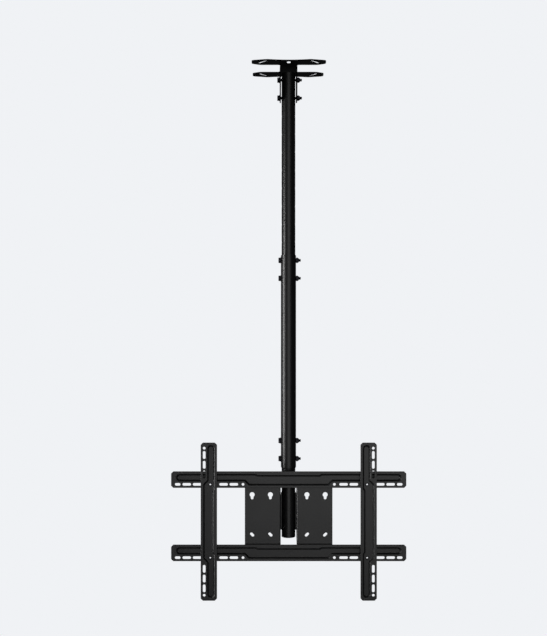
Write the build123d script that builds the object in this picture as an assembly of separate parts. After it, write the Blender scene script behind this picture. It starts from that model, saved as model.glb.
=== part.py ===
"""Ceiling mount for a television: a folded ceiling plate, a pole of three round tubes pinned by cross
bolts, and a tilting frame of stamped rails and uprights on a folded centre plate.

Millimetres. +Z is up, +X is to the viewer's right and the television side faces -Y. The origin is the
centre of the ceiling plate's top face, on the axis of the pole.
"""

from build123d import *
import math
import os

# Ceiling plate, one folded sheet
ceiling_sheet = 3.2
ceiling_bend = 2.0  # inside radius where the cheeks turn down
ceiling_width = 201.0  # along X
ceiling_depth = 169.0  # along Y, before the lobes are rounded
ceiling_waist = 6.5  # how far the long edges curve in at the middle
bar_gap = 78.0  # clear width between the two bars, along Y
lobe_at = 58.0  # where a bar is deepest, from the middle, along X
bar_end_front = 10.0  # how far a bar tapers on its outer side
bar_end_back = 11.0  # how far a bar tapers on its notch side
bar_taper_back = 22.0  # length of that second taper, along X
lobe_round = 24.0
bar_end_round = 9.0
notch_round = 5.0
anchor_slot_width = 10.0
anchor_slot_radius = 95.5  # lobe slots follow a circle about the pole
anchor_slot_angle = 42.0  # middle of a lobe slot, from the X axis
anchor_slot_sweep = 18.0  # between the centres of its round ends, in degrees
centre_slot_length = 26.0
centre_slot_at = 59.0  # from the pole, along Y
cheek_gap = 2.0  # between a cheek and the tube
cheek_root = 60.0  # width of a cheek at its fold, along Y
cheek_tip = 40.0  # and at its lower end
cheek_relief = 3.0  # cut beside each fold
cheek_below_bolt = 11.0  # cheek beyond its lower bolt
cheek_round = 12.0

# Pole
tube_od = 38.0
tube_wall = 2.0
slide_clearance = 0.5  # between tube and sleeve, all round
sleeve_wall = 1.5
hole_pitch = 50.0
first_bolt_drop = 34.0  # from the ceiling plate's top face
upper_tube_holes = 12
upper_tube_lead = 18.0  # tube beyond its end holes
sleeve_pin_span = 500.0  # from the sleeve's upper pair of bolts to its lower pair
sleeve_top_lead = 14.0
sleeve_bottom_lead = 24.0
lower_tube_lead = 14.0
lower_tube_length = 280.0
tube_end_chamfer = 0.5

# Bolts, nuts and washers, size M8
bolt_d = 8.0
bolt_hole_clearance = 0.25  # on the radius
hex_flats = 13.0
head_height = 5.3
nut_height = 8.0
nut_hex_height = 5.6
nut_collar_d = 11.4
nut_collar_round = 1.2
hex_chamfer = 30.0  # degrees
hex_face_share = 0.95  # round end face of a hexagon, as a share of its flats
washer_d = 17.0
washer_thickness = 1.4
thread_end = 5.0  # bolt beyond its nut
thread_end_chamfer = 1.0
thread_clearance = 0.05  # on the radius, between bolt and nut or washer
seat_clearance = 0.05  # under heads, nuts and washers

# Tilt hinge
pivot_below_bolt = 109.0  # from the lowest cross bolt of the pole
lock_radius = 77.0  # from the pivot down to the lock bolt
tilt_down = 15.0  # degrees, top of the screen forward
tilt_up = 5.0  # degrees, the other way
saddle_wall = 2.0
saddle_clearance = 0.1
saddle_reach = 11.0  # cheeks of the saddle in front of the pole's axis
saddle_above_pivot = 15.0
saddle_below_lock = 10.0
saddle_round = 5.0
friction_width = 21.0
friction_thickness = 0.6
friction_clearance = 0.05  # on each face

# Centre plate, one folded sheet
centre_sheet = 2.5
centre_bend = 1.5  # inside radius where the ears turn back
centre_width = 240.0
centre_height = 236.0
centre_below_pivot = 44.0
centre_standoff = 30.5  # from the pole's axis to the plate's back
centre_round = 5.0
centre_edge_round = 0.8  # rolled front edge of the punched sheet
window_height = 166.0
ear_relief = 1.5  # cut above and below each ear
ear_back = 19.0  # behind the pole's axis
ear_top_drop = 6.0  # slope of the ear's upper edge
ear_bottom_rise = 32.0  # slope of its lower edge
ear_round = 14.0
keyhole_columns = (50.0, 100.0)  # from the middle, along X
keyhole_pitch = 100.0  # from the seat of a keyhole down to the slanted slot
keyhole_head_d = 13.6
keyhole_drop = 9.3  # from the head's centre to the seat
shoulder_slot_width = 7.4  # neck of a keyhole, and the slanted slots
slanted_slot_length = 13.0
slanted_slot_turn = 45.0  # degrees

# Stamped strips: two rails and two uprights
strip_sheet = 2.0
rib_depth = 6.0
rib_draft = 30.0  # degrees
rib_outer_corner = 6.5
rib_inner_corner = 3.0
rib_end_share = 0.49  # radius at the ends of a rib, as a share of its width there
rim_round = 2.5
floor_round = 1.5  # inside radius at the foot of the rib's walls
strip_corner = 6.0
strip_edge_round = 0.8  # rolled front edge of a punched strip
frame_below_pivot = 55.0
slot_line = 9.6  # from the slotted edge of a strip
screw_slot_width = 7.4
screw_hole_d = 7.4
rail_length = 642.0
rail_width = 45.0
rail_spacing = 200.0
rail_slot_flange = 18.0  # rib to slotted edge, towards the ends
rail_mid_flange = 6.5  # the same, in the middle
rail_back_flange = 8.0  # rib to the plain edge, towards the ends
rail_back_step = 3.0  # how much wider that flange is in the middle
rail_slot_step_at = 108.5  # half length of the wide middle of the rib
rail_back_step_at = 85.5
rail_rib_margin = 14.0
rail_slots = (149.7, 177.7, 250.0, 278.2)  # from the middle
rail_slot_length = 23.4
rail_end_slot_in = 18.0  # from the rail's end
rail_end_slot_length = 15.2
rail_inner_hole = 124.7
upright_length = 430.0
upright_width = 44.4
upright_spacing = 434.8
upright_slot_flange = 18.0
upright_mid_flange = 7.0
upright_back_flange = 6.7
upright_back_step = 3.4
upright_slot_step_at = 101.0
upright_back_step_at = 84.5
upright_rib_margin = 7.5
upright_slots = (128.3, 154.8, 181.3)  # from the middle
upright_slot_length = 21.4
upright_end_hole = 200.0

# Tubular rivets where uprights and rails cross
crossing_inset = 3.6  # from an upright's centre line, towards the middle
rivet_d = 6.4
rivet_bore = 4.8
rivet_head_d = 9.6
rivet_head = 1.0
rivet_head_round = 0.6
rivet_clearance = 0.1

# Sizes that follow from those above
tube_r = tube_od / 2
sleeve_bore_r = tube_r + slide_clearance
sleeve_r = sleeve_bore_r + sleeve_wall
bolt_hole_r = bolt_d / 2 + bolt_hole_clearance
cheek_inside = tube_r + cheek_gap
cheek_outside = cheek_inside + ceiling_sheet
saddle_inside = tube_r + saddle_clearance
saddle_outside = saddle_inside + saddle_wall
ear_inside = saddle_outside + friction_thickness + 2 * friction_clearance
ear_outside = ear_inside + centre_sheet
ear_bend = centre_bend + centre_sheet
window_half = ear_inside + ear_bend
centre_front = -(centre_standoff + centre_sheet)
rail_front = centre_front - strip_sheet - rib_depth
upright_front = rail_front - strip_sheet - rib_depth
crossing_spacing = upright_spacing - 2 * crossing_inset
rivet_hole_d = rivet_d + 2 * rivet_clearance
through = 2 * (rib_depth + strip_sheet)

# Heights along the pole
bracket_bolts_z = [-first_bolt_drop - hole_pitch * i for i in range(2)]
upper_tube_z = [-first_bolt_drop - hole_pitch * i for i in range(upper_tube_holes)]
upper_joint_z = upper_tube_z[-2:]
lower_joint_z = [z - sleeve_pin_span for z in upper_joint_z]
lower_tube_top = lower_joint_z[0] + lower_tube_lead
lower_tube_bottom = lower_tube_top - lower_tube_length
pivot_z = lower_joint_z[-1] - pivot_below_bolt
lock_z = pivot_z - lock_radius
frame_z = pivot_z - frame_below_pivot
centre_z = pivot_z - centre_below_pivot

os.makedirs("parts", exist_ok=True)


def facing_left(x, z):
    """Plane across X that looks to the left, with its own x axis upwards."""
    return Plane(origin=(x, 0, z), x_dir=(0, 0, 1), z_dir=(-1, 0, 0))


def facing_right(x, z):
    """Plane across X that looks to the right, with its own x axis upwards."""
    return Plane(origin=(x, 0, z), x_dir=(0, 0, 1), z_dir=(1, 0, 0))


def cross_holes(heights, reach):
    """Cutters for bolts along X through the pole's axis at the given heights."""
    return [facing_right(0, z) * Cylinder(bolt_hole_r, 2 * reach) for z in heights]


def ring(outer_r, inner_r, height):
    """Plain ring on the plane z = 0."""
    return extrude(Circle(outer_r) - Circle(inner_r), height)


def tube(outer_r, wall, top, bottom, hole_heights):
    """Round tube about Z with broken outer edges and cross holes along X."""
    bar = extrude(Circle(outer_r), top - bottom)
    bar = chamfer(bar.edges().filter_by(GeomType.CIRCLE), tube_end_chamfer)
    body = Pos(0, 0, bottom) * (bar - extrude(Circle(outer_r - wall), top - bottom))
    return body - cross_holes(hole_heights, 2 * outer_r)


def nearest_corner(shape, x, y):
    """Corner of a flat shape that lies nearest to a point."""
    return shape.vertices().sort_by_distance((x, y, 0))[0]


def hexagon(height, both_ends):
    """Hexagon from z = 0 up with its corners turned off at the top, or at both ends."""
    corner_r = hex_flats / math.sqrt(3)
    flat_r = hex_face_share * hex_flats / 2
    drop = (corner_r - flat_r) * math.tan(math.radians(hex_chamfer))
    turned = [(0, 0), (corner_r, 0), (corner_r, height - drop), (flat_r, height), (0, height)]
    if both_ends:
        turned[1:2] = [(flat_r, 0), (corner_r, drop)]
    blank = extrude(RegularPolygon(corner_r, 6), height)
    return blank & revolve(Plane.XZ * make_face(Polyline(*turned, close=True)), Axis.Z)


def bolt(length):
    """Hexagon bolt: head above z = 0, shank below it."""
    shank = Pos(0, 0, -length / 2) * Cylinder(bolt_d / 2, length)
    tip = shank.edges().sort_by(Axis.Z)[0]
    return hexagon(head_height, False) + chamfer(tip, thread_end_chamfer)


def nut():
    """Locking nut on z = 0: a hexagon below a round collar, which holds the locking ring."""
    collar = extrude(Circle(nut_collar_d / 2), nut_height)
    collar = fillet(collar.edges().sort_by(Axis.Z)[-1], nut_collar_round)
    bore = Cylinder(bolt_d / 2 + thread_clearance, 4 * nut_height)
    return hexagon(nut_hex_height, True) + collar - bore


def washer():
    """Flat washer on z = 0."""
    return ring(washer_d / 2, bolt_d / 2 + thread_clearance, washer_thickness)


def cross_bolt_set(half_grip, heights, nut_washer=False):
    """Bolts, washers and nuts across a joint whose outer faces lie at X = +-half_grip."""
    head_x = -(half_grip + 2 * seat_clearance + washer_thickness)
    nut_x = half_grip + seat_clearance
    if nut_washer:
        nut_x = nut_x + washer_thickness + seat_clearance
    length = nut_x + nut_height + thread_end - head_x
    bolts = [facing_left(head_x, z) * bolt(length) for z in heights]
    washers = [facing_left(-half_grip - seat_clearance, z) * washer() for z in heights]
    if nut_washer:
        washers += [facing_right(half_grip + seat_clearance, z) * washer() for z in heights]
    nuts = [facing_right(nut_x, z) * nut() for z in heights]
    return bolts, washers, nuts


def ceiling_plate():
    """H-shaped plate with a slot in each lobe and each bar, and two cheeks folded down at its neck."""
    half_x = ceiling_width / 2
    half_y = ceiling_depth / 2
    notch_y = bar_gap / 2
    end_outer = half_y - bar_end_front
    end_inner = notch_y + bar_end_back
    taper_x = half_x - bar_taper_back
    waist_y = half_y - ceiling_waist
    edge = TangentArc((0, waist_y), (lobe_at, half_y), tangent=(1, 0))
    rest = Polyline(
        (lobe_at, half_y),
        (half_x, end_outer),
        (half_x, end_inner),
        (taper_x, notch_y),
        (cheek_outside, notch_y),
        (cheek_outside, 0),
        (0, 0),
        (0, waist_y),
    )
    quarter = make_face([edge, *rest.edges()])
    for x, y, radius in (
        (lobe_at, half_y, lobe_round),
        (half_x, end_outer, bar_end_round),
        (half_x, end_inner, bar_end_round),
        (taper_x, notch_y, lobe_round),
        (cheek_outside, notch_y, notch_round),
    ):
        quarter = fillet(nearest_corner(quarter, x, y), radius)
    half = quarter + mirror(quarter, Plane.YZ)
    outline = half + mirror(half, Plane.XZ)
    for turn in (anchor_slot_angle, 180 - anchor_slot_angle, 180 + anchor_slot_angle, -anchor_slot_angle):
        arc = CenterArc((0, 0), anchor_slot_radius, turn - anchor_slot_sweep / 2, anchor_slot_sweep)
        outline -= SlotArc(arc, anchor_slot_width)
    for side in (-1, 1):
        outline -= Pos(0, side * centre_slot_at) * SlotOverall(centre_slot_length, anchor_slot_width, 90)
    bend_outside = ceiling_bend + ceiling_sheet
    fold_length = cheek_root + 2 * cheek_relief
    for side in (-1, 1):
        outline -= Pos(side * cheek_outside, 0) * Rectangle(2 * bend_outside, fold_length)
    flat = extrude(outline, -ceiling_sheet)

    drop = -bracket_bolts_z[-1] + cheek_below_bolt
    channel = Pos(0, -drop / 2) * Rectangle(2 * cheek_outside, drop)
    hollow = Pos(0, -ceiling_sheet - drop / 2) * Rectangle(2 * cheek_inside, drop)
    channel = fillet(channel.vertices().group_by(Axis.Y)[-1], bend_outside)
    hollow = fillet(hollow.vertices().group_by(Axis.Y)[-1], ceiling_bend)
    folded = extrude(Plane.XZ * (channel - hollow), cheek_root / 2, both=True)
    side_view = Polyline(
        (-cheek_root / 2, 0),
        (cheek_root / 2, 0),
        (cheek_root / 2, -bend_outside),
        (cheek_tip / 2, -drop),
        (-cheek_tip / 2, -drop),
        (-cheek_root / 2, -bend_outside),
        close=True,
    )
    cheek = make_face(side_view)
    cheek = fillet(cheek.vertices().group_by(Axis.Y)[0], cheek_round)
    folded &= extrude(Plane.YZ * cheek, ceiling_width, both=True)
    return flat + folded - cross_holes(bracket_bolts_z, ceiling_width)


def tilt_saddle():
    """Sheet bent round the back of the pole, with flat sides where the ears of the frame turn."""
    top = pivot_z + saddle_above_pivot
    bottom = lock_z - saddle_below_lock
    height = top - bottom
    outer = Circle(saddle_outside) + Pos(0, -saddle_reach / 2) * Rectangle(2 * saddle_outside, saddle_reach)
    inner = Circle(saddle_inside) + Pos(0, -saddle_reach) * Rectangle(2 * saddle_inside, 2 * saddle_reach)
    keep = Pos(0, (saddle_outside - saddle_reach) / 2)
    section = (outer - inner) & (keep * Rectangle(2 * saddle_outside, saddle_outside + saddle_reach))
    body = Pos(0, 0, bottom) * extrude(section, height)
    middle = Pos((saddle_outside - saddle_reach) / 2, (top + bottom) / 2)
    side_view = middle * Rectangle(saddle_outside + saddle_reach, height)
    side_view = fillet(side_view.vertices().group_by(Axis.X)[0], saddle_round)
    body &= extrude(Plane.YZ * side_view, 2 * saddle_outside, both=True)
    return body - cross_holes((pivot_z, lock_z), 2 * saddle_outside)


def ear(side):
    """One ear of the centre plate: its bend and its flat, before it is pierced."""
    bend_y = centre_front + ear_bend
    corner = Pos(window_half, bend_y)
    quadrant = Pos(-ear_bend / 2, -ear_bend / 2) * Rectangle(ear_bend, ear_bend)
    bend = corner * ((Circle(ear_bend) - Circle(centre_bend)) & quadrant)
    depth = ear_back - bend_y
    straight = Pos((ear_inside + ear_outside) / 2, bend_y + depth / 2) * Rectangle(centre_sheet, depth)
    root = window_height - 2 * ear_relief
    body = Pos(0, 0, centre_z - root / 2) * extrude(bend + straight, root)
    root_top = centre_z + root / 2
    root_bottom = centre_z - root / 2
    outline = Polyline(
        (centre_front, root_top),
        (bend_y, root_top),
        (ear_back, root_top - ear_top_drop),
        (ear_back, root_bottom + ear_bottom_rise),
        (bend_y, root_bottom),
        (centre_front, root_bottom),
        close=True,
    )
    side_view = make_face(outline)
    side_view = fillet(side_view.vertices().group_by(Axis.X)[-1], ear_round)
    body &= extrude(Plane.YZ * side_view, centre_width, both=True)
    return body if side > 0 else mirror(body, Plane.YZ)


def lock_slot():
    """Cutter along X for the arc slots in which the lock bolt travels as the frame tilts."""
    arc = CenterArc((0, 0), lock_radius, 270 - tilt_down, tilt_down + tilt_up)
    slot = SlotArc(arc, 2 * bolt_hole_r)
    return extrude(Plane.YZ * Pos(0, pivot_z) * slot, centre_width, both=True)


def keyhole():
    """Keyhole about its seat, with the round head above it."""
    head = Pos(0, keyhole_drop) * Circle(keyhole_head_d / 2)
    neck = Pos(0, keyhole_drop / 2) * Rectangle(shoulder_slot_width, keyhole_drop)
    return head + neck + Circle(shoulder_slot_width / 2)


def centre_plate():
    """Square plate with keyholes, slanted slots and a window whose sides turn back as the ears."""
    sheet = RectangleRounded(centre_width, centre_height, centre_round)
    sheet -= Rectangle(2 * window_half, window_height)
    for column in keyhole_columns:
        for side in (-1, 1):
            sheet -= Pos(side * column, keyhole_pitch / 2) * keyhole()
            slanted = SlotOverall(slanted_slot_length, shoulder_slot_width, side * slanted_slot_turn)
            sheet -= Pos(side * column, -keyhole_pitch / 2) * slanted
    front = Plane(origin=(0, centre_front, centre_z), x_dir=(1, 0, 0), z_dir=(0, -1, 0))
    body = extrude(front * sheet, -centre_sheet)
    body = fillet(body.faces().sort_by(Axis.Y)[0].outer_wire().edges(), centre_edge_round)
    ears = ear(1) + ear(-1)
    ears -= cross_holes((pivot_z,), centre_width)
    return body + (ears - lock_slot())


def rib_outline(half, plain, slot_flange, mid_flange, back_step, slot_step_at, back_step_at):
    """Outline of a strip's rib at its front face. The slotted edge of the strip is the line y = 0."""
    rise = slot_flange - mid_flange
    right = (
        (slot_step_at, mid_flange),
        (slot_step_at + rise, slot_flange),
        (half, slot_flange),
        (half, plain),
        (back_step_at + back_step, plain),
        (back_step_at, plain - back_step),
    )
    left = tuple((-x, y) for x, y in reversed(right))
    outline = make_face(Polyline(*right, *left, close=True))
    ends = outline.vertices().group_by(Axis.X)
    outline = fillet(ends[0] + ends[-1], rib_end_share * (plain - slot_flange))
    for corners, radius in (
        ((right[0], right[4], left[1], left[5]), rib_outer_corner),
        ((right[1], right[5], left[0], left[4]), rib_inner_corner),
    ):
        outline = fillet([nearest_corner(outline, x, y) for x, y in corners], radius)
    return outline


def pressed_strip(length, width, rib):
    """Stamped strip, front face on z = 0: a flat sheet with the rib pressed backwards at even thickness."""
    sheet = Pos(0, width / 2) * Rectangle(length, width)
    sheet = chamfer(sheet.vertices(), strip_corner)
    grow = strip_sheet * math.tan(math.radians(45 - rib_draft / 2))
    flange = extrude(sheet, -strip_sheet)
    flange = fillet(flange.edges().group_by(Axis.Z)[-1], strip_edge_round)
    back = extrude(Pos(0, 0, -strip_sheet) * offset(rib, grow), -rib_depth, taper=rib_draft)
    back = fillet(back.edges().group_by(Axis.Z)[0], floor_round + strip_sheet)
    recess = extrude(rib, -rib_depth, taper=rib_draft)
    recess = fillet(recess.edges().group_by(Axis.Z)[0], floor_round)
    strip = flange + back - recess
    front = strip.faces().sort_by(Axis.Z)[-1]
    strip = fillet(front.inner_wires()[0].edges(), rim_round)
    rear = strip.faces().filter_by(Axis.Z).group_by(Axis.Z)[-2][0]
    return fillet(rear.inner_wires()[0].edges(), rim_round - strip_sheet)


def pierced(strip, slots, holes):
    """Strip with slots (x, y, length) and round holes (x, y, diameter) on both halves."""
    for x, y, length in slots:
        for side in (-1, 1):
            slot = Pos(side * x, y) * SlotOverall(length, screw_slot_width)
            strip -= extrude(slot, through, both=True)
    for x, y, diameter in holes:
        for side in (-1, 1):
            strip -= Pos(side * x, y) * Cylinder(diameter / 2, 2 * through)
    return strip


def rail():
    """Stamped rail, slotted edge on y = 0."""
    rib = rib_outline(
        rail_length / 2 - rail_rib_margin,
        rail_width - rail_back_flange,
        rail_slot_flange,
        rail_mid_flange,
        rail_back_step,
        rail_slot_step_at,
        rail_back_step_at,
    )
    slots = [(x, slot_line, rail_slot_length) for x in rail_slots]
    slots += [(rail_length / 2 - rail_end_slot_in, slot_line, rail_end_slot_length)]
    holes = [(rail_inner_hole, slot_line, screw_hole_d)]
    holes += [(crossing_spacing / 2, slot_line, rivet_hole_d)]
    return pierced(pressed_strip(rail_length, rail_width, rib), slots, holes)


def upright():
    """Stamped upright, slotted edge on y = 0."""
    rib = rib_outline(
        upright_length / 2 - upright_rib_margin,
        upright_width - upright_back_flange,
        upright_slot_flange,
        upright_mid_flange,
        upright_back_step,
        upright_slot_step_at,
        upright_back_step_at,
    )
    slots = [(x, slot_line, upright_slot_length) for x in upright_slots]
    holes = [(upright_end_hole, slot_line, screw_hole_d)]
    holes += [(rail_spacing / 2, upright_width / 2 + crossing_inset, rivet_hole_d)]
    return pierced(pressed_strip(upright_length, upright_width, rib), slots, holes)


def rivet():
    """Tubular rivet about Z: front head on z = 0, rolled end behind the second sheet."""
    grip = 2 * strip_sheet + 2 * rivet_clearance
    head = ring(rivet_head_d / 2, rivet_bore / 2, rivet_head)
    head = fillet(head.edges().group_by(Axis.Z)[-1].sort_by(SortBy.RADIUS)[-1], rivet_head_round)
    barrel = ring(rivet_d / 2, rivet_bore / 2, -grip)
    rolled = Pos(0, 0, -grip) * mirror(head, Plane.XY)
    return Pos(0, 0, rivet_clearance) * (head + barrel + rolled)


parts = {}

# Ceiling end
parts["ceiling_plate"] = ceiling_plate()
upper_tube_top = upper_tube_z[0] + upper_tube_lead
upper_tube_bottom = upper_tube_z[-1] - upper_tube_lead
parts["upper_tube"] = tube(tube_r, tube_wall, upper_tube_top, upper_tube_bottom, upper_tube_z)
bracket_set = cross_bolt_set(cheek_outside, bracket_bolts_z)
for name, solids in zip(("bracket_bolts", "bracket_washers", "bracket_nuts"), bracket_set):
    parts[name] = Compound(solids)

# Mast
sleeve_top = upper_joint_z[0] + sleeve_top_lead
sleeve_bottom = lower_joint_z[-1] - sleeve_bottom_lead
sleeve_holes = upper_joint_z + lower_joint_z
parts["sleeve_tube"] = tube(sleeve_r, sleeve_wall, sleeve_top, sleeve_bottom, sleeve_holes)
lower_holes = lower_joint_z + [pivot_z, lock_z]
parts["lower_tube"] = tube(tube_r, tube_wall, lower_tube_top, lower_tube_bottom, lower_holes)
for joint, heights in (("upper_joint", upper_joint_z), ("lower_joint", lower_joint_z)):
    for kind, solids in zip(("bolts", "washers", "nuts"), cross_bolt_set(sleeve_r, heights)):
        parts[f"{joint}_{kind}"] = Compound(solids)
parts["tilt_saddle"] = tilt_saddle()
tilt_bolts, tilt_washers, tilt_nuts = cross_bolt_set(ear_outside, (pivot_z, lock_z), nut_washer=True)
parts["pivot_bolt"], parts["lock_bolt"] = tilt_bolts
parts["pivot_nut"], parts["lock_nut"] = tilt_nuts
parts["tilt_washers"] = Compound(tilt_washers)
friction_x = saddle_outside + friction_clearance
friction_z = (pivot_z + lock_z) / 2
oblong = SlotOverall(lock_radius + friction_width, friction_width)
for along in (-lock_radius / 2, lock_radius / 2):
    oblong -= Pos(along, 0) * Circle(bolt_hole_r)
friction = extrude(oblong, friction_thickness)
friction_set = [facing_right(friction_x, friction_z) * friction]
friction_set += [facing_left(-friction_x, friction_z) * friction]
parts["friction_washers"] = Compound(friction_set)

# Television frame
parts["centre_plate"] = centre_plate()
rail_half = rail_spacing / 2
for name, line_z in (("upper_rail", frame_z + rail_half), ("lower_rail", frame_z - rail_half)):
    edge = Plane(origin=(0, rail_front, line_z - slot_line), x_dir=(1, 0, 0), z_dir=(0, -1, 0))
    parts[name] = edge * rail()
outer_x = (upright_spacing + upright_width) / 2
for name, side in (("left_upright", -1), ("right_upright", 1)):
    edge = Plane(origin=(side * outer_x, upright_front, frame_z), x_dir=(0, 0, side), z_dir=(0, -1, 0))
    parts[name] = edge * upright()
rivets = []
for side in (-1, 1):
    for line_z in (frame_z + rail_half, frame_z - rail_half):
        spot = (side * crossing_spacing / 2, rail_front - strip_sheet, line_z)
        rivets.append(Plane(origin=spot, x_dir=(1, 0, 0), z_dir=(0, -1, 0)) * rivet())
parts["crossing_rivets"] = Compound(rivets)

for name, shape in parts.items():
    export_step(shape, f"parts/{name}.step")
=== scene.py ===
"""Looks of a ceiling mount for a television: black powder coat on folded and stamped steel, black plated
bolts with cut threads, and the studio it hangs in."""

import math

import bmesh
import bpy
from bpy.props import FloatProperty, FloatVectorProperty, IntProperty, PointerProperty
from bpy.types import Operator, Panel, PropertyGroup
from mathutils import Matrix, Vector


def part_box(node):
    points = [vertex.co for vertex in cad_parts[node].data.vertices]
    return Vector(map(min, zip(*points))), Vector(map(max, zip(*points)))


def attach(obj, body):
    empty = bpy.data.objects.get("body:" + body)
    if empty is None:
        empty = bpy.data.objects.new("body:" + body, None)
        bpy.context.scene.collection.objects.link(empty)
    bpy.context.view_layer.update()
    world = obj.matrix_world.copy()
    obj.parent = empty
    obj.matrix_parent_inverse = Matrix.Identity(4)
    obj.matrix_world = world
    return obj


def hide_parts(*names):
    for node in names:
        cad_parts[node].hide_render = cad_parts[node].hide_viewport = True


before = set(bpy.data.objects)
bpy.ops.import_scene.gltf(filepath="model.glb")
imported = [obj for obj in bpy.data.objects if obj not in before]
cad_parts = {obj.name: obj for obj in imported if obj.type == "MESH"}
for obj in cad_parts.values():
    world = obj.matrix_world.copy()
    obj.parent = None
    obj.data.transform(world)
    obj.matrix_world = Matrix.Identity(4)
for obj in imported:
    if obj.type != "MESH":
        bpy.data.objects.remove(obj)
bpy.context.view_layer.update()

bl_info = {
    "name": "Ceiling mount looks",
    "version": (1, 0, 0),
    "blender": (4, 5, 0),
    "location": "3D View > Sidebar > Mount",
    "description": "Finishes, threads and studio for a ceiling mount for a television",
    "category": "Object",
}

MM = 0.001

COATED_NODES = (
    "ceiling_plate",
    "upper_tube",
    "sleeve_tube",
    "lower_tube",
    "tilt_saddle",
    "centre_plate",
    "upper_rail",
    "lower_rail",
    "left_upright",
    "right_upright",
)
BOLT_NODES = {
    "bracket_bolts": "ceiling",
    "upper_joint_bolts": "mast",
    "lower_joint_bolts": "mast",
    "pivot_bolt": "mast",
    "lock_bolt": "mast",
}
NUT_NODES = {
    "bracket_nuts": "ceiling",
    "upper_joint_nuts": "mast",
    "lower_joint_nuts": "mast",
    "pivot_nut": "mast",
    "lock_nut": "mast",
}
PLATED_NODES = (
    "bracket_washers",
    "upper_joint_washers",
    "lower_joint_washers",
    "tilt_washers",
    "crossing_rivets",
)
NYLON_NODES = ("friction_washers",)


def linear(code):
    """Linear colour of an sRGB hex value."""
    shares = [int(code[i : i + 2], 16) / 255 for i in (1, 3, 5)]
    return tuple(c / 12.92 if c <= 0.04045 else ((c + 0.055) / 1.055) ** 2.4 for c in shares)


class MountFinishes(PropertyGroup):
    """Colours and surface of the finishes."""

    coat_colour: FloatVectorProperty(
        name="Coat colour",
        description="Colour of the powder coat",
        subtype="COLOR",
        default=linear("#121213"),
    )
    coat_fleck: FloatVectorProperty(
        name="Coat fleck",
        description="Paler grains in the powder coat",
        subtype="COLOR",
        default=linear("#1B1B1C"),
    )
    coat_roughness: FloatProperty(
        name="Coat roughness",
        description="Mean roughness of the powder coat",
        subtype="FACTOR",
        min=0.0,
        max=1.0,
        default=0.36,
    )
    coat_unevenness: FloatProperty(
        name="Coat unevenness",
        description="How far the roughness of the powder coat strays from its mean",
        subtype="FACTOR",
        min=0.0,
        max=0.3,
        default=0.04,
    )
    coat_grain: FloatProperty(
        name="Coat grain",
        description="Width of the powder's grains",
        unit="LENGTH",
        default=0.8 * MM,
    )
    coat_cloud: FloatProperty(
        name="Coat clouds",
        description="Width of the areas where the spray lay thicker",
        unit="LENGTH",
        default=45.0 * MM,
    )
    coat_peel: FloatProperty(
        name="Coat peel",
        description="Width of the orange peel's bumps",
        unit="LENGTH",
        default=2.2 * MM,
    )
    coat_peel_height: FloatProperty(
        name="Coat peel height",
        description="Height of the orange peel's bumps",
        unit="LENGTH",
        default=0.02 * MM,
    )
    coat_peel_strength: FloatProperty(
        name="Coat peel strength",
        description="How strongly the orange peel shows",
        subtype="FACTOR",
        min=0.0,
        max=1.0,
        default=0.25,
    )
    coat_fleck_range: FloatVectorProperty(
        name="Coat fleck range",
        description="Noise values at which a grain starts to pale and is palest",
        size=2,
        min=0.0,
        max=1.0,
        default=(0.45, 0.75),
    )
    coat_ior: FloatProperty(
        name="Coat refraction",
        description="Refractive index of the powder's resin",
        min=1.0,
        default=1.5,
    )
    plating_colour: FloatVectorProperty(
        name="Plating colour",
        description="Colour of the plated bolts and nuts",
        subtype="COLOR",
        default=linear("#232327"),
    )
    plating_bloom: FloatVectorProperty(
        name="Plating bloom",
        description="Paler bloom on the plating",
        subtype="COLOR",
        default=linear("#303036"),
    )
    plating_bloom_range: FloatVectorProperty(
        name="Plating bloom range",
        description="Noise values at which the bloom starts and is full",
        size=2,
        min=0.0,
        max=1.0,
        default=(0.4, 0.8),
    )
    plating_mottle: FloatProperty(
        name="Plating mottle",
        description="Width of the patches of bloom",
        unit="LENGTH",
        default=3.5 * MM,
    )
    plating_roughness: FloatVectorProperty(
        name="Plating roughness",
        description="Roughness of bare plating and of its bloom",
        size=2,
        min=0.0,
        max=1.0,
        default=(0.28, 0.42),
    )
    nylon_colour: FloatVectorProperty(
        name="Nylon colour",
        description="Colour of the friction washers",
        subtype="COLOR",
        default=linear("#111111"),
    )
    nylon_spark: FloatProperty(
        name="Nylon texture",
        description="Width of the pits left by the mould",
        unit="LENGTH",
        default=0.5 * MM,
    )
    nylon_spark_depth: FloatProperty(
        name="Nylon texture depth",
        description="Depth of those pits",
        unit="LENGTH",
        default=0.03 * MM,
    )
    nylon_spark_strength: FloatProperty(
        name="Nylon texture strength",
        description="How strongly the pits show",
        subtype="FACTOR",
        min=0.0,
        max=1.0,
        default=0.3,
    )
    nylon_ior: FloatProperty(
        name="Nylon refraction",
        description="Refractive index of nylon",
        min=1.0,
        default=1.53,
    )
    nylon_roughness: FloatVectorProperty(
        name="Nylon roughness",
        description="Roughness between the pits and in them",
        size=2,
        min=0.0,
        max=1.0,
        default=(0.5, 0.65),
    )


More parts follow.
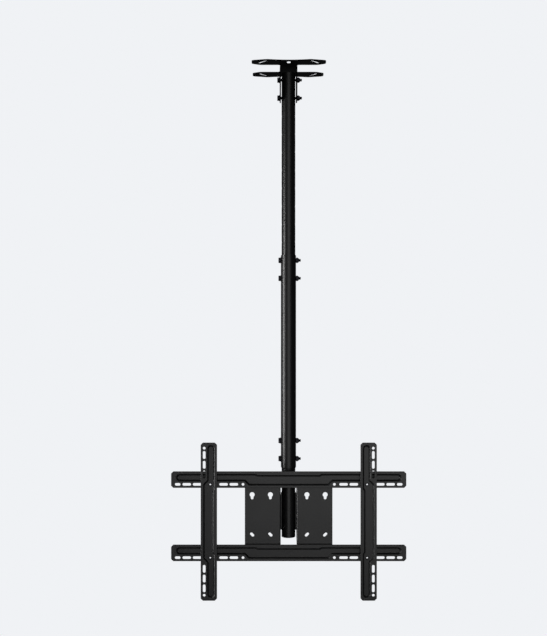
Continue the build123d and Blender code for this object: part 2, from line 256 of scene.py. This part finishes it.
class MountFasteners(PropertyGroup):
    """Sizes of the bolts and nuts."""

    bolt_diameter: FloatProperty(
        name="Bolt diameter",
        description="Across the thread's crests",
        unit="LENGTH",
        default=8.0 * MM,
    )
    thread_pitch: FloatProperty(
        name="Thread pitch",
        description="From crest to crest",
        unit="LENGTH",
        default=1.25 * MM,
    )
    thread_length: FloatProperty(
        name="Thread length",
        description="Cut thread on a bolt",
        unit="LENGTH",
        default=22.0 * MM,
    )
    hex_flats: FloatProperty(
        name="Across flats",
        description="Width of heads and nuts",
        unit="LENGTH",
        default=13.0 * MM,
    )
    head_height: FloatProperty(
        name="Head height",
        description="Height of a bolt's head",
        unit="LENGTH",
        default=5.3 * MM,
    )
    nut_hex_height: FloatProperty(
        name="Nut's hexagon",
        description="Height of a nut's hexagon, below its collar",
        unit="LENGTH",
        default=5.6 * MM,
    )
    nut_collar: FloatProperty(
        name="Nut's collar",
        description="Diameter of the collar that holds a nut's locking ring",
        unit="LENGTH",
        default=11.4 * MM,
    )
    thread_depth: FloatProperty(
        name="Thread depth",
        description="From crest to root, as a share of the pitch",
        default=0.613,
    )
    point_length: FloatProperty(
        name="Point length",
        description="Length over which the thread's end widens to full size, as a share of the pitch",
        default=0.8,
    )
    point_step: FloatProperty(
        name="Point step",
        description="How far a bolt's end face lies inside the thread's root",
        unit="LENGTH",
        default=0.2 * MM,
    )
    run_out: FloatProperty(
        name="Run-out",
        description="From the last of the thread to the full shank",
        unit="LENGTH",
        default=0.6 * MM,
    )
    bore_clearance: FloatProperty(
        name="Bore clearance",
        description="Between a nut's bore and the thread's crests",
        unit="LENGTH",
        default=0.05 * MM,
    )
    nut_countersink: FloatProperty(
        name="Nut's countersink",
        description="Depth of the 45 degree countersink under a nut",
        unit="LENGTH",
        default=0.5 * MM,
    )
    collar_roll: FloatProperty(
        name="Collar roll",
        description="Radius at which the collar is rolled over the locking ring",
        unit="LENGTH",
        default=1.2 * MM,
    )
    ring_drop: FloatProperty(
        name="Ring drop",
        description="How far the locking ring lies below the collar's top",
        unit="LENGTH",
        default=0.4 * MM,
    )
    ring_lean: FloatProperty(
        name="Ring lean",
        description="How far the collar's lip leans in on its way to the ring",
        unit="LENGTH",
        default=0.1 * MM,
    )
    sharp_edge: FloatProperty(
        name="Sharp edge",
        description="Angle from which an edge of a bolt or nut is drawn sharp",
        subtype="ANGLE",
        default=math.radians(28),
    )
    thread_steps: IntProperty(
        name="Thread steps",
        description="Steps in one turn of thread, a multiple of six",
        min=12,
        default=36,
    )


class MountStudio(PropertyGroup):
    """The studio round the mount."""

    background: FloatVectorProperty(
        name="Background",
        description="Colour of floor and backdrop",
        subtype="COLOR",
        default=linear("#F0F2F5"),
    )
    room_light: FloatProperty(
        name="Room light",
        description="Light of the room round the lamps, as a share of the backdrop",
        subtype="FACTOR",
        min=0.0,
        max=1.0,
        default=0.12,
    )
    room_mirrored: FloatProperty(
        name="Room in gloss",
        description="The room as gloss mirrors it, as a share of the backdrop",
        subtype="FACTOR",
        min=0.0,
        max=1.0,
        default=0.02,
    )
    floor_drop: FloatProperty(
        name="Floor",
        description="Floor below the ceiling",
        unit="LENGTH",
        default=2.4,
    )
    floor_radius: FloatProperty(
        name="Floor radius",
        description="From the middle of the floor to its rim",
        unit="LENGTH",
        default=6.0,
    )
    floor_segments: IntProperty(
        name="Floor segments",
        description="Straight edges round the floor's rim",
        min=3,
        default=96,
    )
    floor_roughness: FloatProperty(
        name="Floor roughness",
        description="Roughness of the floor's paint",
        subtype="FACTOR",
        min=0.0,
        max=1.0,
        default=0.9,
    )
    floor_fade: FloatVectorProperty(
        name="Floor fade",
        description="Radii between which the floor fades into the backdrop",
        size=2,
        unit="LENGTH",
        default=(0.7, 2.2),
    )
    floor_glow: FloatProperty(
        name="Floor glow",
        description="Share of the backdrop's own brightness in the middle of the floor",
        subtype="FACTOR",
        min=0.0,
        max=1.0,
        default=0.75,
    )
    camera_place: FloatVectorProperty(
        name="Camera",
        description="Place of the camera, which looks level along +Y",
        subtype="TRANSLATION",
        unit="LENGTH",
        default=(-0.0415, -2.45, -0.694),
    )
    focal_pixels: FloatProperty(
        name="Focal length",
        description="In pixels of the picture",
        default=883.0,
    )
    picture_height: IntProperty(
        name="Picture height",
        description="In pixels; the longer side",
        default=636,
    )


def add_node(tree, kind, links=(), **settings):
    """Adds a node, sets its properties and inputs, and links outputs of other nodes to its inputs."""
    node = tree.nodes.new(kind)
    for name, value in settings.items():
        if name in node.inputs:
            node.inputs[name].default_value = value
        else:
            setattr(node, name, value)
    for socket, source in links:
        tree.links.new(source, node.inputs[socket])
    return node


def new_material(name):
    """Empty node material, its tree and its shader."""
    material = bpy.data.materials.new(name)
    material.use_nodes = True
    tree = material.node_tree
    return material, tree, tree.nodes["Principled BSDF"]


def two_shades(tree, noise, span, first, second):
    """Colour that goes from the first to the second where a noise runs through a span of values."""
    ramp = add_node(tree, "ShaderNodeValToRGB", [("Fac", noise.outputs["Fac"])])
    for element, position, colour in zip(ramp.color_ramp.elements, span, (first, second)):
        element.position = position
        element.color = (*colour, 1)
    return ramp.outputs["Color"]


def finish(name):
    """A material made earlier; an error where it is missing."""
    material = bpy.data.materials.get(name)
    if material is None:
        raise RuntimeError(f"the finish {name} isn't made yet")
    return material


def give(piece, material):
    """Puts one material on every face of an object."""
    piece.data.materials.clear()
    piece.data.materials.append(material)


COAT = "satin black powder coat on steel"
PLATING = "black zinc plated steel"
NYLON = "moulded black nylon"


def powder_coat(finishes):
    """Baked powder on steel: a nearly black film, soft sheen, faint orange peel and fine grains."""
    material, tree, shader = new_material(COAT)
    place = add_node(tree, "ShaderNodeTexCoord").outputs["Object"]
    # Real grains are about 0.05 mm; these are drawn coarser, so that they show.
    grain = add_node(
        tree,
        "ShaderNodeTexNoise",
        [("Vector", place)],
        Scale=1 / finishes.coat_grain,
        Detail=2.0,
        Roughness=0.6,
    )
    shade = two_shades(tree, grain, finishes.coat_fleck_range, finishes.coat_colour, finishes.coat_fleck)
    tree.links.new(shade, shader.inputs["Base Color"])
    cloud = add_node(
        tree, "ShaderNodeTexNoise", [("Vector", place)], Scale=1 / finishes.coat_cloud, Detail=3.0
    )
    smooth = finishes.coat_roughness - finishes.coat_unevenness
    rough = finishes.coat_roughness + finishes.coat_unevenness
    gloss = add_node(
        tree, "ShaderNodeMapRange", [("Value", cloud.outputs["Fac"])], **{"To Min": smooth, "To Max": rough}
    )
    tree.links.new(gloss.outputs["Result"], shader.inputs["Roughness"])
    peel = add_node(
        tree, "ShaderNodeTexNoise", [("Vector", place)], Scale=1 / finishes.coat_peel, Detail=1.0
    )
    bump = add_node(
        tree,
        "ShaderNodeBump",
        [("Height", peel.outputs["Fac"])],
        Strength=finishes.coat_peel_strength,
        Distance=finishes.coat_peel_height,
    )
    tree.links.new(bump.outputs["Normal"], shader.inputs["Normal"])
    shader.inputs["IOR"].default_value = finishes.coat_ior
    return material


def black_plating(finishes):
    """Zinc passivated black: darker and glossier than the coat, with a faint mottled bloom."""
    material, tree, shader = new_material(PLATING)
    place = add_node(tree, "ShaderNodeTexCoord").outputs["Object"]
    mottle = add_node(
        tree, "ShaderNodeTexNoise", [("Vector", place)], Scale=1 / finishes.plating_mottle, Detail=4.0
    )
    shade = two_shades(
        tree, mottle, finishes.plating_bloom_range, finishes.plating_colour, finishes.plating_bloom
    )
    tree.links.new(shade, shader.inputs["Base Color"])
    bare, bloomed = finishes.plating_roughness
    gloss = add_node(
        tree,
        "ShaderNodeMapRange",
        [("Value", mottle.outputs["Fac"])],
        **{"To Min": bare, "To Max": bloomed},
    )
    tree.links.new(gloss.outputs["Result"], shader.inputs["Roughness"])
    shader.inputs["Metallic"].default_value = 1.0
    return material


def black_nylon(finishes):
    """Moulded nylon: matt, with the fine spark texture of its mould."""
    material, tree, shader = new_material(NYLON)
    place = add_node(tree, "ShaderNodeTexCoord").outputs["Object"]
    spark = add_node(
        tree, "ShaderNodeTexNoise", [("Vector", place)], Scale=1 / finishes.nylon_spark, Detail=2.0
    )
    smooth, pitted = finishes.nylon_roughness
    gloss = add_node(
        tree, "ShaderNodeMapRange", [("Value", spark.outputs["Fac"])], **{"To Min": smooth, "To Max": pitted}
    )
    tree.links.new(gloss.outputs["Result"], shader.inputs["Roughness"])
    bump = add_node(
        tree,
        "ShaderNodeBump",
        [("Height", spark.outputs["Fac"])],
        Strength=finishes.nylon_spark_strength,
        Distance=finishes.nylon_spark_depth,
    )
    tree.links.new(bump.outputs["Normal"], shader.inputs["Normal"])
    shader.inputs["Base Color"].default_value = (*finishes.nylon_colour, 1)
    shader.inputs["IOR"].default_value = finishes.nylon_ior
    return material


class MOUNT_OT_finishes(Operator):
    """Make the finishes"""

    bl_idname = "mount.finishes"
    bl_label = "Finishes"

    def execute(self, context):
        finishes = context.scene.mount_finishes
        powder_coat(finishes)
        black_plating(finishes)
        black_nylon(finishes)
        return {"FINISHED"}


class MOUNT_OT_coat(Operator):
    """Coat the sheet and tube pieces and plate the small ones"""

    bl_idname = "mount.coat"
    bl_label = "Coat the steel"

    def execute(self, context):
        for names, name in ((COATED_NODES, COAT), (PLATED_NODES, PLATING), (NYLON_NODES, NYLON)):
            for node in names:
                give(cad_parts[node], finish(name))
        return {"FINISHED"}


HEX_FACE = 0.95  # round end face of a hexagon, as a share of its flats
HEX_CHAMFER = 30  # degrees from the end face to the turned corners
ROLL_STEPS = (0, 30, 60, 90)  # degrees round the collar's roll
SAME_LEVEL = 0.002 * MM  # heights closer than this are one
SAME_POINT = 0.004 * MM  # points closer than this are one
ON_CUT = 0.001 * MM  # points closer than this to a cut lie on it


def hex_radius(angle, flats):
    """Distance from the axis to a hexagon's side, with a corner at angle zero."""
    sixth = math.pi / 3
    return flats / 2 / math.cos(angle % sixth - sixth / 2)


def turned_drop(radius, flats):
    """How far the chamfer of a hexagon's corners has come down at a radius."""
    return max(0.0, radius - HEX_FACE * flats / 2) * math.tan(math.radians(HEX_CHAMFER))


def next_ring(bm, edges, place):
    """Extrudes a loop of edges and moves the new loop: place gives radius and height for an angle."""
    made = bmesh.ops.extrude_edge_only(bm, edges=edges)["geom"]
    for vert in (g for g in made if isinstance(g, bmesh.types.BMVert)):
        angle = math.atan2(vert.co.y, vert.co.x)
        radius, height = place(angle)
        vert.co = (radius * math.cos(angle), radius * math.sin(angle), height)
    return [g for g in made if isinstance(g, bmesh.types.BMEdge) and g.is_boundary]


def edges_at(bm, height):
    """Open edges of a mesh that lie at one height."""
    return [
        e for e in bm.edges if e.is_boundary and all(abs(v.co.z - height) < SAME_LEVEL for v in e.verts)
    ]


def thread(bm, sizes, bottom, top):
    """Cut thread about Z from bottom to top: one pitch of its profile, spun up and trimmed."""
    pitch = sizes.thread_pitch
    crest = sizes.bolt_diameter / 2
    root = crest - sizes.thread_depth * pitch
    sixteenth = pitch / 16
    start = bottom - 2 * pitch
    turns = math.ceil((top - bottom) / pitch) + 4
    outline = (
        (root, 0),
        (crest, 5 * sixteenth),
        (crest, 7 * sixteenth),
        (root, 12 * sixteenth),
        (root, pitch),
    )
    points = [bm.verts.new((radius, 0, start + height)) for radius, height in outline]
    lines = [bm.edges.new(pair) for pair in zip(points, points[1:])]
    steps = sizes.thread_steps
    bmesh.ops.spin(
        bm,
        geom=points + lines,
        cent=(0, 0, 0),
        axis=(0, 0, 1),
        dvec=(0, 0, pitch / steps),
        angle=2 * math.pi * turns,
        steps=steps * turns,
        use_merge=False,
        use_duplicate=False,
    )
    bmesh.ops.remove_doubles(bm, verts=bm.verts[:], dist=SAME_POINT)
    for height, side in ((bottom, -1), (top, 1)):
        bmesh.ops.bisect_plane(
            bm,
            geom=bm.verts[:] + bm.edges[:] + bm.faces[:],
            dist=ON_CUT,
            plane_co=(0, 0, height),
            plane_no=(0, 0, side),
            clear_outer=True,
        )
    point = sizes.point_length * pitch
    for vert in bm.verts:
        limit = root - sizes.point_step + max(0.0, vert.co.z - bottom) * crest / point
        radius = vert.co.xy.length
        if radius > limit:
            vert.co.xy *= limit / radius


def bolt_mesh(sizes, length):
    """Hexagon bolt about Z: head above z = 0, shank and cut thread below it."""
    bm = bmesh.new()
    flats = sizes.hex_flats
    shank = sizes.bolt_diameter / 2
    tip = -length
    top = tip + sizes.thread_length
    thread(bm, sizes, tip, top)
    head = sizes.head_height
    face = HEX_FACE * flats / 2
    loop = edges_at(bm, top)
    loop = next_ring(bm, loop, lambda angle: (shank, top + sizes.run_out))
    loop = next_ring(bm, loop, lambda angle: (shank, 0))
    loop = next_ring(bm, loop, lambda angle: (hex_radius(angle, flats), 0))
    loop = next_ring(
        bm,
        loop,
        lambda angle: (hex_radius(angle, flats), head - turned_drop(hex_radius(angle, flats), flats)),
    )
    loop = next_ring(bm, loop, lambda angle: (face, head))
    bmesh.ops.holes_fill(bm, edges=loop + edges_at(bm, tip), sides=0)
    bmesh.ops.recalc_face_normals(bm, faces=bm.faces[:])
    return bm


def nut_mesh(sizes, height):
    """Locking nut on z = 0: a countersunk hexagon, and a collar rolled over the ring that locks it."""
    bm = bmesh.new()
    flats = sizes.hex_flats
    face = HEX_FACE * flats / 2
    bore = sizes.bolt_diameter / 2 + sizes.bore_clearance
    sink = sizes.nut_countersink
    shoulder = sizes.nut_hex_height
    collar = sizes.nut_collar / 2
    roll = sizes.collar_roll
    lip = collar - roll
    bmesh.ops.create_circle(bm, cap_ends=False, radius=bore, segments=sizes.thread_steps)
    bmesh.ops.translate(bm, verts=bm.verts[:], vec=(0, 0, sink))
    first = bm.edges[:]
    loop = next_ring(bm, first, lambda angle: (bore + sink, 0))
    loop = next_ring(bm, loop, lambda angle: (face, 0))
    for base, sign in ((0, 1), (shoulder, -1)):
        loop = next_ring(
            bm,
            loop,
            lambda angle: (
                hex_radius(angle, flats),
                base + sign * turned_drop(hex_radius(angle, flats), flats),
            ),
        )
    loop = next_ring(bm, loop, lambda angle: (face, shoulder))
    loop = next_ring(bm, loop, lambda angle: (collar, shoulder))
    for turn in ROLL_STEPS:
        lean = math.radians(turn)
        radius = lip + roll * math.cos(lean)
        level = height - roll + roll * math.sin(lean)
        loop = next_ring(bm, loop, lambda angle: (radius, level))
    ring = height - sizes.ring_drop
    loop = next_ring(bm, loop, lambda angle: (lip - sizes.ring_lean, ring))
    loop = next_ring(bm, loop, lambda angle: (bore, ring))
    bmesh.ops.bridge_loops(bm, edges=loop + first)
    bmesh.ops.recalc_face_normals(bm, faces=bm.faces[:])
    return bm


def across(x, z, outwards):
    """Matrix that turns a piece made about Z to lie along X at a height, with a corner upwards."""
    turned = Matrix(((0, 0, outwards), (0, -outwards, 0), (1, 0, 0)))
    return Matrix.Translation((x, 0, z)) @ turned.to_4x4()


def node_heights(node, corner):
    """Heights of the one or two axes along X in a CAD node of hexagon pieces."""
    low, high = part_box(node)
    if high.z - low.z < 3 * corner:
        return [(low.z + high.z) / 2]
    return [high.z - corner, low.z + corner]


def hex_piece(name, node, body, meshes, sharp_edge):
    """Object of placed meshes that stands for a CAD node and rides on its body."""
    joined = bmesh.new()
    for bm, place in meshes:
        bm.transform(place)
        part = bpy.data.meshes.new("part")
        bm.to_mesh(part)
        bm.free()
        joined.from_mesh(part)
        bpy.data.meshes.remove(part)
    mesh = bpy.data.meshes.new(name)
    joined.to_mesh(mesh)
    joined.free()
    mesh.shade_smooth()
    mesh.set_sharp_from_angle(angle=sharp_edge)
    piece = bpy.data.objects.new(name, mesh)
    bpy.context.scene.collection.objects.link(piece)
    give(piece, finish(PLATING))
    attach(piece, body)
    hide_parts(node)
    return piece


class MOUNT_OT_bolts(Operator):
    """Make the cross bolts with their cut threads"""

    bl_idname = "mount.bolts"
    bl_label = "Threaded bolts"

    def execute(self, context):
        sizes = context.scene.mount_fasteners
        corner = sizes.hex_flats / math.sqrt(3)
        for node, body in BOLT_NODES.items():
            low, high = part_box(node)
            under_head = low.x + sizes.head_height
            meshes = []
            for z in node_heights(node, corner):
                meshes.append((bolt_mesh(sizes, high.x - under_head), across(under_head, z, -1)))
            hex_piece(f"threaded_{node}", node, body, meshes, sizes.sharp_edge)
        return {"FINISHED"}


class MOUNT_OT_nuts(Operator):
    """Make the locking nuts with their turned corners and rolled collars"""

    bl_idname = "mount.nuts"
    bl_label = "Locking nuts"

    def execute(self, context):
        sizes = context.scene.mount_fasteners
        corner = sizes.hex_flats / math.sqrt(3)
        for node, body in NUT_NODES.items():
            low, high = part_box(node)
            meshes = []
            for z in node_heights(node, corner):
                meshes.append((nut_mesh(sizes, high.x - low.x), across(low.x, z, 1)))
            hex_piece(f"turned_{node}", node, body, meshes, sizes.sharp_edge)
        return {"FINISHED"}


# Soft lights: place, point they face, width and height in metres, power in watts
SOFTBOXES = {
    "front softbox": ((0.35, -3.6, -1.0), (0.0, 0.0, -1.0), (2.4, 3.8), 33.0),
    "left softbox": ((-2.2, -0.5, -1.05), (0.0, 0.0, -1.05), (0.5, 1.9), 46.0),
    "left fill softbox": ((-2.4, -2.8, -1.6), (0.0, 0.0, -1.2), (2.2, 1.5), 9.0),
    "right fill softbox": ((2.4, -2.8, -1.6), (0.0, 0.0, -1.2), (2.2, 1.5), 9.0),
    "rear softbox": ((0.0, 3.4, -1.3), (0.0, 0.0, -1.1), (2.4, 2.2), 14.0),
    "rear left softbox": ((-2.5, 2.6, -1.7), (0.0, 0.0, -1.2), (2.0, 1.4), 12.0),
    "rear right softbox": ((2.5, 2.6, -1.7), (0.0, 0.0, -1.2), (2.0, 1.4), 12.0),
    "top softbox": ((0.0, 0.3, 2.4), (0.0, 0.0, 0.0), (2.4, 2.4), 16.0),
}
PLATE = ("ceiling_plate",)
TUBES = ("upper_tube", "sleeve_tube", "lower_tube")
# Nodes that a lamp is kept off: the plate's underside, seen at a shallow angle, would mirror most lamps as a
# glare, and the lamps at the corners would put more stripes on the tubes than the photograph shows
FLAGS = {
    "front softbox": PLATE,
    "left softbox": PLATE,
    "left fill softbox": PLATE + TUBES,
    "right fill softbox": PLATE + TUBES,
    "rear softbox": PLATE,
    "rear left softbox": PLATE + TUBES,
    "rear right softbox": PLATE + TUBES,
}


def softbox(name, place, aim, size, power):
    """Rectangular soft light at a place, turned to a point; size is its width and height."""
    lamp = bpy.data.lights.new(name, "AREA")
    lamp.shape = "RECTANGLE"
    lamp.size, lamp.size_y = size
    lamp.energy = power
    holder = bpy.data.objects.new(name, lamp)
    holder.location = place
    holder.rotation_mode = "QUATERNION"
    holder.rotation_quaternion = (Vector(aim) - Vector(place)).to_track_quat("-Z", "Y")
    holder.visible_camera = False
    bpy.context.scene.collection.objects.link(holder)
    return holder


def flag(holder, nodes):
    """Keeps a lamp's light off some CAD nodes, as a black card on a stand does in a studio."""
    screened = bpy.data.collections.new(f"{holder.name} flag")
    for node in nodes:
        screened.objects.link(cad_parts[node])
    for member in screened.collection_objects:
        member.light_linking.link_state = "EXCLUDE"
    holder.light_linking.receiver_collection = screened


def room_level(tree, studio):
    """Brightness of the room round the lamps: one level as a light, a lower one in gloss."""
    rays = add_node(tree, "ShaderNodeLightPath")
    mirrored = add_node(
        tree,
        "ShaderNodeMath",
        [(0, rays.outputs["Is Glossy Ray"]), (1, rays.outputs["Is Transmission Ray"])],
        operation="MAXIMUM",
    )
    level = add_node(
        tree,
        "ShaderNodeMix",
        [("Factor", mirrored.outputs["Value"])],
        A=studio.room_light,
        B=studio.room_mirrored,
    )
    return level.outputs["Result"], rays.outputs["Is Camera Ray"]


def studio_world(studio):
    """Pale backdrop to the eye; to gloss and as a light, the dim room round the lamps."""
    world = bpy.data.worlds.new("studio")
    world.use_nodes = True
    tree = world.node_tree
    tree.nodes.clear()
    level, to_eye = room_level(tree, studio)
    strength = add_node(tree, "ShaderNodeMix", [("Factor", to_eye), ("A", level)], B=1.0)
    light = add_node(
        tree,
        "ShaderNodeBackground",
        [("Strength", strength.outputs["Result"])],
        Color=(*studio.background, 1),
    )
    add_node(tree, "ShaderNodeOutputWorld", [("Surface", light.outputs["Background"])])
    bpy.context.scene.world = world


def studio_floor(studio):
    """Round pale floor that takes the shadow in the middle and fades into the backdrop at its rim. To gloss
    and as a light it is as dim as the room."""
    bm = bmesh.new()
    bmesh.ops.create_circle(
        bm, cap_ends=True, radius=studio.floor_radius, segments=studio.floor_segments
    )
    bmesh.ops.translate(bm, verts=bm.verts[:], vec=(0, 0, -studio.floor_drop))
    mesh = bpy.data.meshes.new("studio_floor")
    bm.to_mesh(mesh)
    bm.free()
    floor = bpy.data.objects.new("studio_floor", mesh)
    bpy.context.scene.collection.objects.link(floor)
    material, tree, shader = new_material("pale matt floor")
    shader.inputs["Base Color"].default_value = (*studio.background, 1)
    shader.inputs["Roughness"].default_value = studio.floor_roughness
    place = add_node(tree, "ShaderNodeTexCoord").outputs["Object"]
    flat = add_node(tree, "ShaderNodeVectorMath", [(0, place)], operation="MULTIPLY")
    flat.inputs[1].default_value = (1, 1, 0)
    distance = add_node(tree, "ShaderNodeVectorMath", [(0, flat.outputs["Vector"])], operation="LENGTH")
    near, far = studio.floor_fade
    fade = add_node(
        tree,
        "ShaderNodeMapRange",
        [("Value", distance.outputs["Value"])],
        interpolation_type="SMOOTHSTEP",
        **{"From Min": near, "From Max": far, "To Min": studio.floor_glow},
    )
    backdrop = add_node(tree, "ShaderNodeEmission", Color=(*studio.background, 1), Strength=1.0)
    seen = add_node(
        tree,
        "ShaderNodeMixShader",
        [(0, fade.outputs["Result"]), (1, shader.outputs["BSDF"]), (2, backdrop.outputs["Emission"])],
    )
    level, to_eye = room_level(tree, studio)
    room = add_node(tree, "ShaderNodeEmission", [("Strength", level)], Color=(*studio.background, 1))
    mixed = add_node(
        tree,
        "ShaderNodeMixShader",
        [(0, to_eye), (1, room.outputs["Emission"]), (2, seen.outputs["Shader"])],
    )
    output = tree.nodes["Material Output"]
    tree.links.new(mixed.outputs["Shader"], output.inputs["Surface"])
    give(floor, material)


class MOUNT_OT_studio(Operator):
    """Set floor, backdrop, lights and camera"""

    bl_idname = "mount.studio"
    bl_label = "Studio"

    def execute(self, context):
        studio = context.scene.mount_studio
        scene = context.scene
        scene.view_settings.view_transform = "Standard"
        studio_world(studio)
        studio_floor(studio)
        for name, settings in SOFTBOXES.items():
            lamp = softbox(name, *settings)
            if name in FLAGS:
                flag(lamp, FLAGS[name])
        lens = bpy.data.cameras.new("camera")
        lens.lens = studio.focal_pixels / studio.picture_height * lens.sensor_width
        holder = bpy.data.objects.new("camera", lens)
        holder.location = studio.camera_place
        holder.rotation_euler = (math.pi / 2, 0, 0)
        scene.collection.objects.link(holder)
        scene.camera = holder
        return {"FINISHED"}


class MOUNT_PT_looks(Panel):
    """Sizes and colours of the mount's looks"""

    bl_idname = "MOUNT_PT_looks"
    bl_label = "Ceiling mount"
    bl_space_type = "VIEW_3D"
    bl_region_type = "UI"
    bl_category = "Mount"

    def draw(self, context):
        layout = self.layout
        for operator in OPERATORS:
            layout.operator(operator.bl_idname)
        for group in (
            context.scene.mount_finishes,
            context.scene.mount_fasteners,
            context.scene.mount_studio,
        ):
            box = layout.box()
            for name in group.__annotations__:
                box.prop(group, name)


OPERATORS = (
    MOUNT_OT_finishes,
    MOUNT_OT_coat,
    MOUNT_OT_bolts,
    MOUNT_OT_nuts,
    MOUNT_OT_studio,
)
GROUPS = (MountFinishes, MountFasteners, MountStudio)
CLASSES = (*GROUPS, *OPERATORS, MOUNT_PT_looks)


def register():
    for cls in CLASSES:
        bpy.utils.register_class(cls)
    bpy.types.Scene.mount_finishes = PointerProperty(type=MountFinishes)
    bpy.types.Scene.mount_fasteners = PointerProperty(type=MountFasteners)
    bpy.types.Scene.mount_studio = PointerProperty(type=MountStudio)


def unregister():
    del bpy.types.Scene.mount_studio
    del bpy.types.Scene.mount_fasteners
    del bpy.types.Scene.mount_finishes
    for cls in reversed(CLASSES):
        bpy.utils.unregister_class(cls)


def main():
    """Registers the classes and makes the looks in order."""
    register()
    bpy.ops.mount.finishes()
    bpy.ops.mount.coat()
    bpy.ops.mount.bolts()
    bpy.ops.mount.nuts()
    bpy.ops.mount.studio()


if __name__ == "__main__":
    main()
